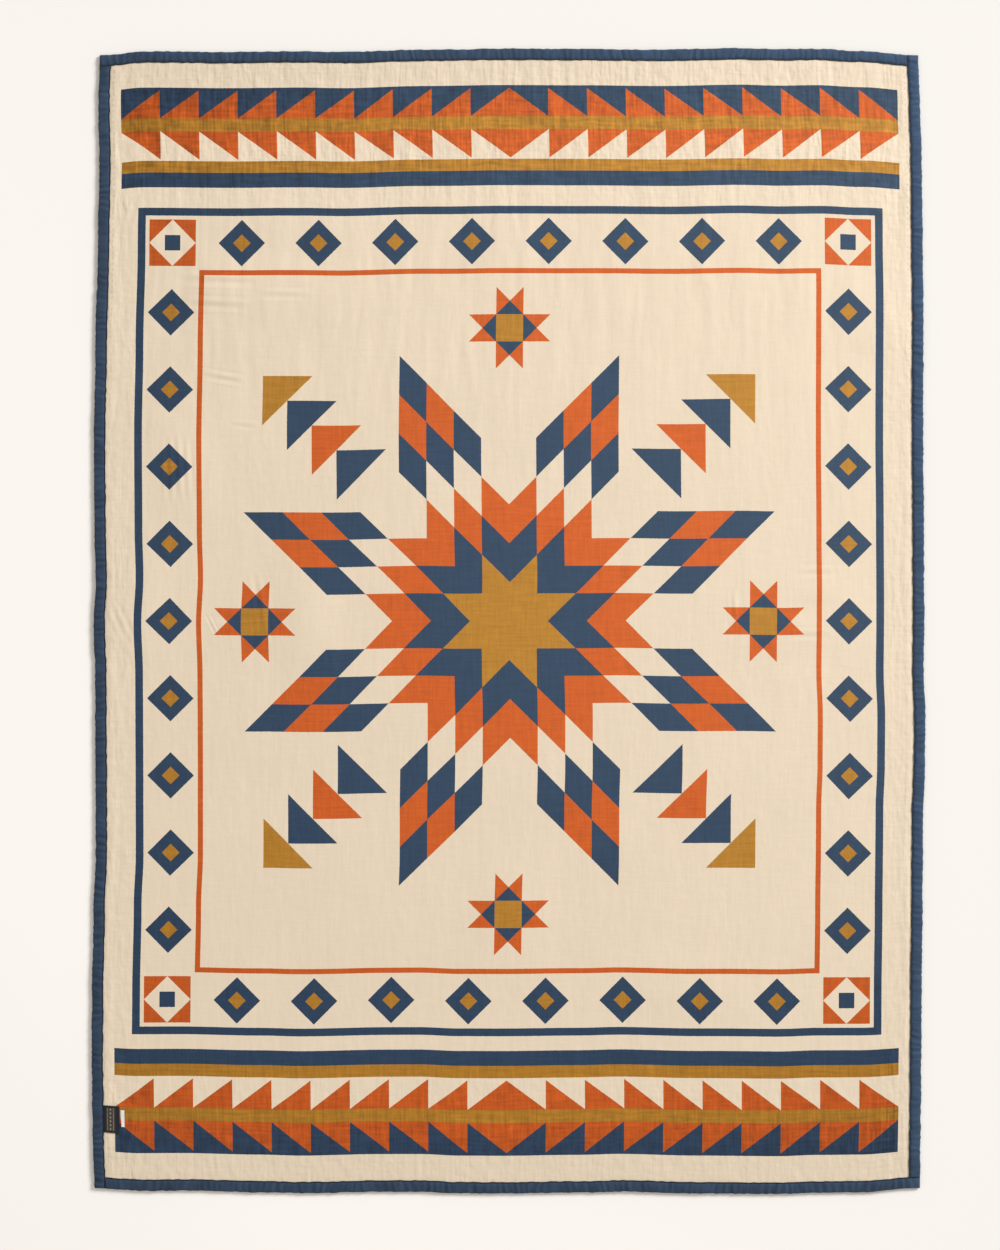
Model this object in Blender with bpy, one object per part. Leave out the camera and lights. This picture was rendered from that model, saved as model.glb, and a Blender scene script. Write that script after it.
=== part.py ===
"""A bound cotton gauze throw blanket, lying flat and face up, as a maker would build it.

One sheet of layered gauze, four binding strips folded over its edges, a woven label
and a care tag sewn in under the left strip. Metres, +Z up, +Y towards the head end.
The origin is on the floor, under the middle of the blanket.

Every piece is drawn on the flat cloth first, as (u, v) from the blanket's middle. The
function placed() then lays it down: it moves each point with the uneven edges and
lifts it over the soft folds, so pieces that fit when flat still fit as laid.
"""

import bisect
import math

import bmesh
import bpy

MM = 0.001

# The flat blanket
WIDTH = 1.280
LENGTH = 1.765
CLOTH_THICK = 0.0025
GAP = 0.0003

# The binding: one strip of doubled gauze a side, folded over the cloth's raw edge
BINDING_SHOWS = 0.0178
BINDING_LEAF = 0.0008
BINDING_FOLD_WALL = 0.0011
BINDING_FOLD_STEPS = 5
SETTLES_OVER = 0.016

# The label and the care tag, sewn in under the left strip near the foot end
LABEL_SHOWS = 0.0245
LABEL_WIDTH = 0.042
LABEL_THICK = 0.0008
LABEL_MIDDLE_V = -0.7738
TAG_SHOWS = 0.0318
TAG_WIDTH = 0.026
TAG_MIDDLE_V = -0.7712
TAG_THICK = 0.0004

GRID_STEP = 0.050

# How far each edge stands out past the straight line of the flat blanket.
# Rows: (place along the edge from its lower or left end, stands out), mm
LEFT_EDGE = (
    (0, 0.0),
    (75, 2.6),
    (225, 4.0),
    (300, 3.4),
    (440, 0.9),
    (520, -2.3),
    (800, -1.4),
    (880, 1.2),
    (950, -2.2),
    (1025, -0.3),
    (1170, 0.4),
    (1310, -2.0),
    (1460, -5.6),
    (1600, -7.9),
    (1690, -6.5),
    (1765, -8.5),
)
RIGHT_EDGE = (
    (0, -4.4),
    (150, -2.5),
    (300, -1.6),
    (440, -0.2),
    (590, 0.9),
    (660, 3.5),
    (735, 4.0),
    (805, 1.5),
    (880, 2.4),
    (1025, 1.8),
    (1170, 0.8),
    (1385, 1.1),
    (1460, 0.0),
    (1605, -1.4),
    (1680, -4.0),
    (1765, -7.0),
)
HEAD_EDGE = (
    (0, -8.5),
    (73, -2.2),
    (200, -3.1),
    (320, -2.0),
    (380, -3.0),
    (505, 0.3),
    (630, 2.0),
    (750, 1.5),
    (875, 0.4),
    (1000, 2.6),
    (1060, 1.2),
    (1120, 1.7),
    (1185, -1.4),
    (1280, -8.5),
)
FOOT_EDGE = (
    (0, -6.5),
    (73, -2.3),
    (135, -2.6),
    (260, 0.0),
    (320, 1.6),
    (445, -0.9),
    (505, -0.9),
    (567, 1.7),
    (630, 2.0),
    (752, 0.5),
    (814, -1.1),
    (937, 1.7),
    (1060, 2.6),
    (1122, 0.6),
    (1184, 0.0),
    (1280, -6.5),
)

# Soft folds and swells, where the cloth lies a little off the floor.
# Rows: (middle u, middle v, turn in degrees of its long way from +Y, half length, half width, lift), mm
SOFT_FOLDS = (
    (-318, 20, 4, 150, 75, 2.6),
    (-575, 15, 0, 120, 70, 2.0),
    (-400, 520, 84, 190, 75, 2.2),
    (-350, 620, 88, 170, 60, 1.6),
    (-495, 240, 8, 130, 65, 1.8),
    (455, 15, 90, 130, 90, 2.4),
    (590, 455, 62, 110, 70, 2.0),
    (0, 560, 0, 150, 80, 1.4),
    (0, -450, 0, 140, 90, 1.4),
    (250, -560, 90, 150, 70, 1.2),
)

HALF_WIDTH = WIDTH / 2
HALF_LENGTH = LENGTH / 2
LEAF_RISE = BINDING_LEAF + GAP
CLOTH_EDGE_IN = BINDING_FOLD_WALL + GAP
BINDING_THICK = 2 * LEAF_RISE + CLOTH_THICK
BINDING_INNER_U = HALF_WIDTH - BINDING_SHOWS
BINDING_INNER_V = HALF_LENGTH - BINDING_SHOWS


def eased(t):
    """A smooth step from 0 to 1."""
    t = min(max(t, 0.0), 1.0)
    return t * t * (3 - 2 * t)


def stands_out(edge, place):
    """How far an edge stands out at a place along it, in metres, eased from row to row."""
    places = [row[0] * MM for row in edge]
    row = min(max(bisect.bisect_right(places, place) - 1, 0), len(edge) - 2)
    share = eased((place - places[row]) / (places[row + 1] - places[row]))
    return MM * (edge[row][1] * (1 - share) + edge[row + 1][1] * share)


def hump(t):
    """1 in the middle and 0 from t = 1 out, with soft shoulders."""
    return (1 - t * t) ** 2 if abs(t) < 1 else 0.0


def lift(u, v):
    """How far the laid cloth is off the floor. Under the binding it follows the cloth beside it."""
    u = min(max(u, -BINDING_INNER_U), BINDING_INNER_U)
    v = min(max(v, -BINDING_INNER_V), BINDING_INNER_V)
    total = 0.0
    for middle_u, middle_v, turn, half_length, half_width, height in SOFT_FOLDS:
        across_u = u - middle_u * MM
        across_v = v - middle_v * MM
        angle = math.radians(turn)
        along = across_v * math.cos(angle) - across_u * math.sin(angle)
        across = across_u * math.cos(angle) + across_v * math.sin(angle)
        total += height * MM * hump(along / (half_length * MM)) * hump(across / (half_width * MM))
    return total


def edge_rise(u, v):
    """The cloth rises onto the lower leaf of the binding over the last few millimetres."""
    inward = min(BINDING_INNER_U - abs(u), BINDING_INNER_V - abs(v))
    return LEAF_RISE * (1 - min(max(inward / SETTLES_OVER, 0.0), 1.0))


def laid(u, v):
    """Where a point of the flat blanket lies once its edges have drawn in and out."""
    across = (u + HALF_WIDTH) / WIDTH
    up = (v + HALF_LENGTH) / LENGTH
    left = stands_out(LEFT_EDGE, v + HALF_LENGTH)
    right = stands_out(RIGHT_EDGE, v + HALF_LENGTH)
    foot = stands_out(FOOT_EDGE, u + HALF_WIDTH)
    head = stands_out(HEAD_EDGE, u + HALF_WIDTH)
    x = u - left * (1 - across) + right * across
    y = v - foot * (1 - up) + head * up
    return x, y


def stations(half, inner, extra=()):
    """The grid lines of the cloth one way: its edge, the binding's line, where it meets the floor, then even steps."""
    settled = inner - SETTLES_OVER
    count = math.ceil(2 * settled / GRID_STEP)
    even = [-settled + 2 * settled * i / count for i in range(count + 1)]
    edge = half - CLOTH_EDGE_IN
    return sorted([-edge, -inner, *even, inner, edge, *extra])


LABEL_ENDS = (LABEL_MIDDLE_V - LABEL_WIDTH / 2, LABEL_MIDDLE_V + LABEL_WIDTH / 2)
U_LINES = stations(HALF_WIDTH, BINDING_INNER_U)
V_LINES = stations(HALF_LENGTH, BINDING_INNER_V, LABEL_ENDS)


def outline_middle():
    """The middle of the laid blanket's box, which the origin goes under."""
    corners = (-HALF_WIDTH, HALF_WIDTH), (-HALF_LENGTH, HALF_LENGTH)
    us = [*U_LINES, *corners[0]]
    vs = [*V_LINES, *corners[1]]
    xs = [laid(u, v)[0] for u in corners[0] for v in vs]
    ys = [laid(u, v)[1] for v in corners[1] for u in us]
    return (min(xs) + max(xs)) / 2, (min(ys) + max(ys)) / 2


MIDDLE_X, MIDDLE_Y = outline_middle()


def placed(u, v, z):
    """A point drawn on the flat blanket, at height z over the floor, as laid."""
    x, y = laid(u, v)
    return x - MIDDLE_X, y - MIDDLE_Y, z + lift(u, v)


def dyed(name, colour, roughness):
    """A plain cloth material."""
    material = bpy.data.materials.new(name)
    material.use_nodes = True
    shader = material.node_tree.nodes["Principled BSDF"]
    shader.inputs["Base Color"].default_value = (*colour, 1.0)
    shader.inputs["Roughness"].default_value = roughness
    shader.inputs["Metallic"].default_value = 0.0
    return material


def finished(name, bm, material, parent):
    """Turns the faces outwards and makes the object."""
    bmesh.ops.recalc_face_normals(bm, faces=bm.faces[:])
    mesh = bpy.data.meshes.new(name)
    bm.to_mesh(mesh)
    bm.free()
    mesh.shade_smooth()
    mesh.set_sharp_from_angle(angle=math.radians(35))
    mesh.materials.append(material)
    piece = bpy.data.objects.new(name, mesh)
    piece.parent = parent
    bpy.context.scene.collection.objects.link(piece)
    return piece


def sheet(name, us, vs, underside, thick, material, parent):
    """A closed sheet over the grid lines us and vs. underside(u, v) is the height of its lower face."""
    bm = bmesh.new()
    lower = [[bm.verts.new(placed(u, v, underside(u, v))) for u in us] for v in vs]
    upper = [[bm.verts.new(placed(u, v, underside(u, v) + thick)) for u in us] for v in vs]
    last_u = len(us) - 1
    last_v = len(vs) - 1
    for j in range(last_v):
        for i in range(last_u):
            around = ((j, i), (j, i + 1), (j + 1, i + 1), (j + 1, i))
            bm.faces.new([upper[a][b] for a, b in around])
            bm.faces.new([lower[a][b] for a, b in reversed(around)])
    rim = [(0, i) for i in range(last_u)]
    rim += [(j, last_u) for j in range(last_v)]
    rim += [(last_v, i) for i in range(last_u, 0, -1)]
    rim += [(j, 0) for j in range(last_v, 0, -1)]
    for (a, b), (c, d) in zip(rim, rim[1:] + rim[:1]):
        bm.faces.new((lower[a][b], lower[c][d], upper[c][d], upper[a][b]))
    return finished(name, bm, material, parent)


def binding_outside():
    """The outside of the folded strip, as (way in from the fold, height), lower leaf first."""
    radius = BINDING_THICK / 2
    points = [(BINDING_SHOWS, 0.0)]
    for step in range(BINDING_FOLD_STEPS + 1):
        angle = -math.pi / 2 - math.pi * step / BINDING_FOLD_STEPS
        points.append((radius + radius * math.cos(angle), radius + radius * math.sin(angle)))
    points.append((BINDING_SHOWS, BINDING_THICK))
    return points


def binding_pocket():
    """The inside of the folded strip, which the cloth's edge sits in, upper leaf first."""
    top = BINDING_THICK - BINDING_LEAF
    return [
        (BINDING_SHOWS, top),
        (BINDING_FOLD_WALL, top),
        (BINDING_FOLD_WALL, BINDING_LEAF),
        (BINDING_SHOWS, BINDING_LEAF),
    ]


def binding_strip(name, lines, on_cloth, material, parent):
    """One strip, from its closed end to the end that butts against the next strip.

    lines are the places along the strip, and on_cloth(place, way in) gives (u, v).
    The first length, up to the second line, is solid: the strip's end is tucked in there.
    """
    bm = bmesh.new()
    outside = binding_outside()
    pocket = binding_pocket()

    def points(profile, place):
        return [bm.verts.new(placed(*on_cloth(place, inward), z)) for inward, z in profile]

    def joined(ring, next_ring):
        for k in range(len(ring)):
            n = (k + 1) % len(ring)
            bm.faces.new((ring[k], ring[n], next_ring[n], next_ring[k]))

    tucked_end = points(outside + [pocket[0], pocket[3]], lines[0])
    bm.faces.new(tucked_end)
    ring = points(outside + pocket, lines[1])
    joined(tucked_end, ring[: len(outside) + 1] + [ring[-1]])
    bm.faces.new(ring[len(outside) :])
    for place in lines[2:]:
        next_ring = points(outside + pocket, place)
        joined(ring, next_ring)
        ring = next_ring
    bm.faces.new(ring)
    return finished(name, bm, material, parent)


def strip_lines(grid, half, inner):
    """Places along a strip that runs up: tucked end, pocket's end, the cloth's grid lines, butt end."""
    between = [line for line in grid if -inner <= line < inner]
    return [-half, -half + BINDING_FOLD_WALL, *between, inner - GAP]


def make_binding(material, parent):
    """Four strips, each butting against the side of the next, anticlockwise round the blanket."""
    up = strip_lines(V_LINES, HALF_LENGTH, BINDING_INNER_V)
    along = strip_lines(U_LINES, HALF_WIDTH, BINDING_INNER_U)
    down = strip_lines([-v for v in reversed(V_LINES)], HALF_LENGTH, BINDING_INNER_V)
    strips = (
        ("binding_left", up, lambda place, inward: (inward - HALF_WIDTH, place)),
        ("binding_head", along, lambda place, inward: (place, HALF_LENGTH - inward)),
        ("binding_right", down, lambda place, inward: (HALF_WIDTH - inward, -place)),
        ("binding_foot", along, lambda place, inward: (-place, inward - HALF_LENGTH)),
    )
    for name, lines, on_cloth in strips:
        binding_strip(name, lines, on_cloth, material, parent)


def make_label_and_tag(label_cloth, tag_cloth, parent):
    """The care tag lies on the cloth, and the label on the tag. Both start at the left strip's inner line."""
    start = -BINDING_INNER_U + GAP
    settled = -BINDING_INNER_U + SETTLES_OVER
    tag_vs = (TAG_MIDDLE_V - TAG_WIDTH / 2, TAG_MIDDLE_V + TAG_WIDTH / 2)
    tag_us = (start, settled, -BINDING_INNER_U + TAG_SHOWS)
    label_us = (start, settled, -BINDING_INNER_U + LABEL_SHOWS)

    def on_cloth(u, v):
        return edge_rise(u, v) + CLOTH_THICK + GAP

    def on_tag(u, v):
        return on_cloth(u, v) + TAG_THICK + GAP

    sheet("care_tag", tag_us, tag_vs, on_cloth, TAG_THICK, tag_cloth, parent)
    sheet("label", label_us, LABEL_ENDS, on_tag, LABEL_THICK, label_cloth, parent)


def main():
    for leftover in list(bpy.data.objects):
        bpy.data.objects.remove(leftover)
    gauze = dyed("cream_gauze", (0.80, 0.66, 0.49), 0.93)
    navy = dyed("navy_gauze", (0.048, 0.088, 0.145), 0.90)
    dark = dyed("label_satin", (0.016, 0.017, 0.026), 0.62)
    white = dyed("tag_satin", (0.86, 0.85, 0.84), 0.70)
    blanket = bpy.data.objects.new("blanket", None)
    bpy.context.scene.collection.objects.link(blanket)
    sheet("cloth", U_LINES, V_LINES, edge_rise, CLOTH_THICK, gauze, blanket)
    make_binding(navy, blanket)
    make_label_and_tag(dark, white, blanket)


main()
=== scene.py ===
"""The look of a bound cotton gauze throw: printed gauze, puckered binding, label and care tag.

Every piece is drawn on the flat cloth first, as (u, v) in metres from the blanket's middle,
with u across its width and v towards the head end. placed() then lays it down over the same
uneven edges and soft folds as the solids have. The flat place of each point is kept in the
map "flat", which the materials follow, so print and weave bend with the cloth.
"""

import math

import bmesh
import bpy
import numpy as np
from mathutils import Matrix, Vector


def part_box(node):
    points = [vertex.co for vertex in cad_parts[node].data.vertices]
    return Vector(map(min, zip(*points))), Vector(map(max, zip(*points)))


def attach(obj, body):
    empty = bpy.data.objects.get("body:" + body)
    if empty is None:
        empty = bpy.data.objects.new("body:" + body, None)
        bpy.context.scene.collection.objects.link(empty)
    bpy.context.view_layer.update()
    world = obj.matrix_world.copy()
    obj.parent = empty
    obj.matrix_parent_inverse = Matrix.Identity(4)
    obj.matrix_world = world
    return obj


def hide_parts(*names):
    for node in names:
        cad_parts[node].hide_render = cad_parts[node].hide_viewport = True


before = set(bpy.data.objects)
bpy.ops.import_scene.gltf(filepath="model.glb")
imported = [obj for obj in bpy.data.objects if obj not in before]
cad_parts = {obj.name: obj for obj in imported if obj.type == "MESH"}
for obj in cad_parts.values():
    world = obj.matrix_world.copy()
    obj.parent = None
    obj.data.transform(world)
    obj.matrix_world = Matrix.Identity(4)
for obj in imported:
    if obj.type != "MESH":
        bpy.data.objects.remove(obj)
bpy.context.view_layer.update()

MM = 0.001

# The flat blanket, as in the solids
WIDTH = 1.280
LENGTH = 1.765
CLOTH_THICK = 0.0025
GAP = 0.0003
BINDING_SHOWS = 0.0178
BINDING_LEAF = 0.0008
BINDING_FOLD_WALL = 0.0011
SETTLES_OVER = 0.016
CRINKLE_GROWS_OVER = 0.007
CRINKLE_LIFT_MM = 1.2
LABEL_SHOWS = 0.0245
LABEL_WIDTH = 0.042
LABEL_MIDDLE_V = -0.7738
TAG_SHOWS = 0.0318
TAG_WIDTH = 0.026
TAG_MIDDLE_V = -0.7712

# How far each edge stands out past the straight line of the flat blanket.
# Rows: (place along the edge from its lower or left end, stands out), mm
LEFT_EDGE = (
    (0, 0.0),
    (75, 2.6),
    (225, 4.0),
    (300, 3.4),
    (440, 0.9),
    (520, -2.3),
    (800, -1.4),
    (880, 1.2),
    (950, -2.2),
    (1025, -0.3),
    (1170, 0.4),
    (1310, -2.0),
    (1460, -5.6),
    (1600, -7.9),
    (1690, -6.5),
    (1765, -8.5),
)
RIGHT_EDGE = (
    (0, -4.4),
    (150, -2.5),
    (300, -1.6),
    (440, -0.2),
    (590, 0.9),
    (660, 3.5),
    (735, 4.0),
    (805, 1.5),
    (880, 2.4),
    (1025, 1.8),
    (1170, 0.8),
    (1385, 1.1),
    (1460, 0.0),
    (1605, -1.4),
    (1680, -4.0),
    (1765, -7.0),
)
HEAD_EDGE = (
    (0, -8.5),
    (73, -2.2),
    (200, -3.1),
    (320, -2.0),
    (380, -3.0),
    (505, 0.3),
    (630, 2.0),
    (750, 1.5),
    (875, 0.4),
    (1000, 2.6),
    (1060, 1.2),
    (1120, 1.7),
    (1185, -1.4),
    (1280, -8.5),
)
FOOT_EDGE = (
    (0, -6.5),
    (73, -2.3),
    (135, -2.6),
    (260, 0.0),
    (320, 1.6),
    (445, -0.9),
    (505, -0.9),
    (567, 1.7),
    (630, 2.0),
    (752, 0.5),
    (814, -1.1),
    (937, 1.7),
    (1060, 2.6),
    (1122, 0.6),
    (1184, 0.0),
    (1280, -6.5),
)

# Soft folds and swells, as in the solids.
# Rows: (middle u, middle v, turn in degrees of its long way from +Y, half length, half width, lift), mm
SOFT_FOLDS = (
    (-318, 20, 4, 150, 75, 2.6),
    (-575, 15, 0, 120, 70, 2.0),
    (-400, 520, 84, 190, 75, 2.2),
    (-350, 620, 88, 170, 60, 1.6),
    (-495, 240, 8, 130, 65, 1.8),
    (455, 15, 90, 130, 90, 2.4),
    (590, 455, 62, 110, 70, 2.0),
    (0, 560, 0, 150, 80, 1.4),
    (0, -450, 0, 140, 90, 1.4),
    (250, -560, 90, 150, 70, 1.2),
)

# Smaller folds that only the finer cloth here can hold. Same columns as SOFT_FOLDS
SMALL_FOLDS = (
    (-380, 18, 0, 56, 16, 0.9),
    (-509, 238, 0, 60, 24, 0.7),
    (462, 17, 90, 50, 25, -1.8),
    (346, 23, 4, 30, 10, 0.9),
    (-454, 512, 90, 60, 26, 0.9),
    (608, 456, 58, 36, 14, 0.7),
    (250, -580, 92, 60, 22, 0.5),
    (20, 575, 4, 60, 12, 0.5),
)

# Fans of narrow creases, which the gauze's material carries as relief. Each runs up the cloth,
# or across it if it is level. Rows: middle u, middle v, lean, crease to crease,
# half reach across them, half reach along them, level, strength. Lengths are in mm
CREASE_FANS = (
    (-597, -4, 0.45, 14, 27, 34, False, 0.8),
    (-511, 238, 0.04, 13, 32, 54, False, 1.3),
    (-383, 20, 0.16, 15, 19, 58, False, 1.3),
    (-457, -6, 0.50, 9, 9, 20, False, 0.8),
    (-402, 10, 0.00, 22, 16, 80, True, 0.9),
    (-450, 530, 0.02, 22, 16, 68, True, 2.2),
    (-452, 492, 0.03, 20, 15, 52, True, 2.0),
    (-350, 507, 0.02, 18, 13, 42, True, 1.5),
    (-441, 378, 0.15, 17, 13, 34, True, 2.0),
    (-408, 305, 0.10, 15, 11, 24, True, 1.1),
    (474, 76, 0.00, 18, 14, 36, True, 1.2),
    (456, -20, 0.00, 18, 14, 38, True, 1.2),
    (346, 23, 0.05, 13, 12, 30, False, 0.8),
)

HALF_WIDTH = WIDTH / 2
HALF_LENGTH = LENGTH / 2
LEAF_RISE = BINDING_LEAF + GAP
CLOTH_EDGE_IN = BINDING_FOLD_WALL + GAP
BINDING_THICK = 2 * LEAF_RISE + CLOTH_THICK
BINDING_INNER_U = HALF_WIDTH - BINDING_SHOWS
BINDING_INNER_V = HALF_LENGTH - BINDING_SHOWS

# Grid steps of the cloth and the binding here
CLOTH_STEP_U = 0.0045
CLOTH_STEP_V = 0.0106
BINDING_STEP = 0.0023


# The laid cloth


def eased(t):
    """A smooth step from 0 to 1."""
    t = np.clip(t, 0, 1)
    return t * t * (3 - 2 * t)


def stands_out(edge, place):
    """How far an edge stands out at places along it, in metres, eased from row to row."""
    rows = np.array(edge, float) * MM
    row = np.clip(np.searchsorted(rows[:, 0], place, side="right") - 1, 0, len(rows) - 2)
    share = eased((place - rows[row, 0]) / (rows[row + 1, 0] - rows[row, 0]))
    return rows[row, 1] * (1 - share) + rows[row + 1, 1] * share


def hump(t):
    """1 in the middle and 0 from t = 1 out, with soft shoulders."""
    return np.clip(1 - t * t, 0, 1) ** 2


def folds(rows, u, v):
    """The height of all the folds in a table at (u, v), in metres."""
    total = 0.0
    for middle_u, middle_v, turn, half_length, half_width, height in rows:
        across_u = u - middle_u * MM
        across_v = v - middle_v * MM
        angle = math.radians(turn)
        along = across_v * math.cos(angle) - across_u * math.sin(angle)
        across = across_u * math.cos(angle) + across_v * math.sin(angle)
        total += height * MM * hump(along / (half_length * MM)) * hump(across / (half_width * MM))
    return total


def lift(u, v):
    """How far the laid cloth is off the floor. Under the binding it follows the cloth beside it."""
    u = np.clip(u, -BINDING_INNER_U, BINDING_INNER_U)
    v = np.clip(v, -BINDING_INNER_V, BINDING_INNER_V)
    return folds(SOFT_FOLDS, u, v)


def laid(u, v):
    """Where a point of the flat blanket lies once its edges have drawn in and out."""
    across = (u + HALF_WIDTH) / WIDTH
    up = (v + HALF_LENGTH) / LENGTH
    left = stands_out(LEFT_EDGE, v + HALF_LENGTH)
    right = stands_out(RIGHT_EDGE, v + HALF_LENGTH)
    foot = stands_out(FOOT_EDGE, u + HALF_WIDTH)
    head = stands_out(HEAD_EDGE, u + HALF_WIDTH)
    x = u - left * (1 - across) + right * across
    y = v - foot * (1 - up) + head * up
    return x, y


def middle_of_solids():
    """How far the solids were shifted so that the middle of their outline is over the origin."""
    head_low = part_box("binding_head")[0]
    corner_x = laid(-HALF_WIDTH, HALF_LENGTH)[0]
    left_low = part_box("binding_left")[0]
    foot_y = laid(-HALF_WIDTH, -HALF_LENGTH)[1]
    return float(corner_x) - head_low.x, float(foot_y) - left_low.y


MIDDLE_X, MIDDLE_Y = middle_of_solids()


def placed(u, v, z):
    """Points drawn on the flat blanket, at height z over the floor, as laid."""
    x, y = laid(u, v)
    return np.stack([x - MIDDLE_X, y - MIDDLE_Y, z + lift(u, v)], -1)


def lumps(seed, u, v, size_u, size_v):
    """Soft random relief from -1 to 1, in lumps of about size_u by size_v."""
    heights = np.random.default_rng(seed).uniform(-1, 1, (211, 223))
    column = u / size_u + 100
    row = v / size_v + 100
    i = np.floor(column).astype(int)
    j = np.floor(row).astype(int)
    s = eased(column - i)
    t = eased(row - j)

    def height(right, up):
        return heights[(j + up) % len(heights), (i + right) % len(heights[0])]

    lower = height(0, 0) * (1 - s) + height(1, 0) * s
    upper = height(0, 1) * (1 - s) + height(1, 1) * s
    return lower * (1 - t) + upper * t


def inward(u, v):
    """How far a point lies inside the binding's inner line. It is negative under the binding."""
    return np.minimum(BINDING_INNER_U - np.abs(u), BINDING_INNER_V - np.abs(v))


def edge_rise(u, v):
    """The cloth rises onto the lower leaf of the binding over the last few millimetres."""
    return LEAF_RISE * (1 - np.clip(inward(u, v) / SETTLES_OVER, 0, 1))


def crinkle(u, v):
    """The relief of washed gauze. It runs up the cloth, and is deeper where the binding draws it in."""
    drift = 6 * MM * lumps(21, u, v, 0.050, 0.070)
    up_the_cloth = lumps(22, u + drift, v, 0.0085, 0.060)
    broad = lumps(23, u + 2 * drift, v, 0.019, 0.13)
    across_the_cloth = lumps(24, u, v + drift, 0.055, 0.013)
    head_pull = np.exp(-np.clip(BINDING_INNER_V - v, 0, 2) / 0.110)
    foot_pull = 0.35 * np.exp(-np.clip(BINDING_INNER_V + v, 0, 2) / 0.060)
    side_pull = np.exp(-np.clip(BINDING_INNER_U - np.abs(u), 0, 1) / 0.030)
    narrow_puckers = lumps(25, u + drift, v, 0.0078, 0.030)
    wide_puckers = lumps(27, u + drift, v, 0.016, 0.045)
    end_puckers = 0.75 * narrow_puckers + 1.15 * wide_puckers
    side_puckers = lumps(26, u, v, 0.035, 0.0070)
    side_streaks = lumps(28, u + drift, v, 0.0062, 0.085)
    upper = 1 + 1.7 * eased((v - 0.15) / 0.35)
    relief = upper * (0.12 * up_the_cloth + 0.15 * broad + 0.07 * across_the_cloth)
    relief += 0.48 * (head_pull + foot_pull) * end_puckers
    relief += side_pull * (0.25 * side_puckers + 0.40 * side_streaks)
    settles = eased(inward(u, v) / CRINKLE_GROWS_OVER)
    return MM * settles * (CRINKLE_LIFT_MM + relief)


def gauze_top(u, v):
    """The height of the cloth's face over the floor, without the soft folds that placed() adds."""
    settles = eased(inward(u, v) / CRINKLE_GROWS_OVER)
    return edge_rise(u, v) + CLOTH_THICK + crinkle(u, v) + settles * folds(SMALL_FOLDS, u, v)


# Making pieces

SMOOTH_BELOW = math.radians(50)


def steps_between(low, high, step):
    """Even steps from low to high, each about as long as step."""
    return np.linspace(low, high, max(2, round((high - low) / step) + 1))


def grid_piece(name, across, along, place, materials):
    """A grid primitive, reshaped: place(a, b) says where its point at a across and b along goes."""
    bpy.ops.object.select_all(action="DESELECT")
    columns = len(across) - 1
    rows = len(along) - 1
    bpy.ops.mesh.primitive_grid_add(x_subdivisions=columns, y_subdivisions=rows, size=2)
    piece = bpy.context.object
    piece.name = name
    mesh = piece.data
    mesh.name = name
    at = np.empty(len(mesh.vertices) * 3, np.float32)
    mesh.vertices.foreach_get("co", at)
    at = at.reshape(-1, 3)
    a = across[np.rint((at[:, 0] + 1) / 2 * columns).astype(int)]
    b = along[np.rint((at[:, 1] + 1) / 2 * rows).astype(int)]
    mesh.vertices.foreach_set("co", place(a, b).astype(np.float32).ravel())
    flat = mesh.uv_layers[0]
    flat.name = "flat"
    corner = np.empty(len(mesh.loops), np.int32)
    mesh.loops.foreach_get("vertex_index", corner)
    flat.uv.foreach_set("vector", np.stack([a, b], -1)[corner].astype(np.float32).ravel())
    for material in materials:
        mesh.materials.append(material)
    mesh.update()
    return piece


def thickened(piece, thick):
    """Gives a piece its thickness downwards. Its inner side and rim wear its second material."""
    bpy.context.view_layer.objects.active = piece
    solidify = piece.modifiers.new("thickness", "SOLIDIFY")
    solidify.thickness = thick
    solidify.offset = -1
    solidify.material_offset = 1
    solidify.material_offset_rim = 1
    bpy.ops.object.modifier_apply(modifier=solidify.name)
    piece.data.shade_smooth()
    piece.data.set_sharp_from_angle(angle=SMOOTH_BELOW)


def bake_map(piece, rows):
    """Lays the piece out flat in the square: its length in so many rows, the face above the back in each."""
    margin = 0.06 if rows > 1 else 0.004
    mesh = piece.data
    count = len(mesh.loops)
    flat = np.empty(count * 2, np.float32)
    mesh.uv_layers["flat"].uv.foreach_get("vector", flat)
    across, along = flat.reshape(-1, 2).T
    first = np.empty(len(mesh.polygons), np.int32)
    mesh.polygons.foreach_get("loop_start", first)
    is_back = np.empty(len(mesh.polygons), np.int32)
    mesh.polygons.foreach_get("material_index", is_back)
    corners = np.diff(np.append(first, count))
    row_length = (along.max() - along.min()) / rows
    lowest = np.minimum.reduceat(along - along.min(), first)
    row = np.clip(np.floor(lowest / row_length + 1e-4), 0, rows - 1)
    row = np.repeat(row, corners)
    back = np.repeat(is_back, corners)
    x = margin + (1 - 2 * margin) * ((along - along.min()) / row_length - row)
    share = (across - across.min()) / (across.max() - across.min())
    y = (row + np.where(back, 0.745 + 0.245 * share, 0.005 + 0.72 * share)) / rows
    laid_out = mesh.uv_layers.new(name="OFBake", do_init=False)
    laid_out.uv.foreach_set("vector", np.stack([x, y], -1).astype(np.float32).ravel())
    mesh.uv_layers.active = mesh.uv_layers["flat"]
    mesh.uv_layers["flat"].active_render = True


def gauze_cloth(face, back):
    """The layered gauze itself, its raw edge lying in the binding's fold."""
    us = steps_between(-HALF_WIDTH + CLOTH_EDGE_IN, HALF_WIDTH - CLOTH_EDGE_IN, CLOTH_STEP_U)
    vs = steps_between(-HALF_LENGTH + CLOTH_EDGE_IN, HALF_LENGTH - CLOTH_EDGE_IN, CLOTH_STEP_V)

    def place(u, v):
        return placed(u, v, gauze_top(u, v))

    cloth = grid_piece("gauze_cloth", us, vs, place, (face, back))
    thickened(cloth, CLOTH_THICK)
    bake_map(cloth, rows=1)
    return cloth


# The binding

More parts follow.
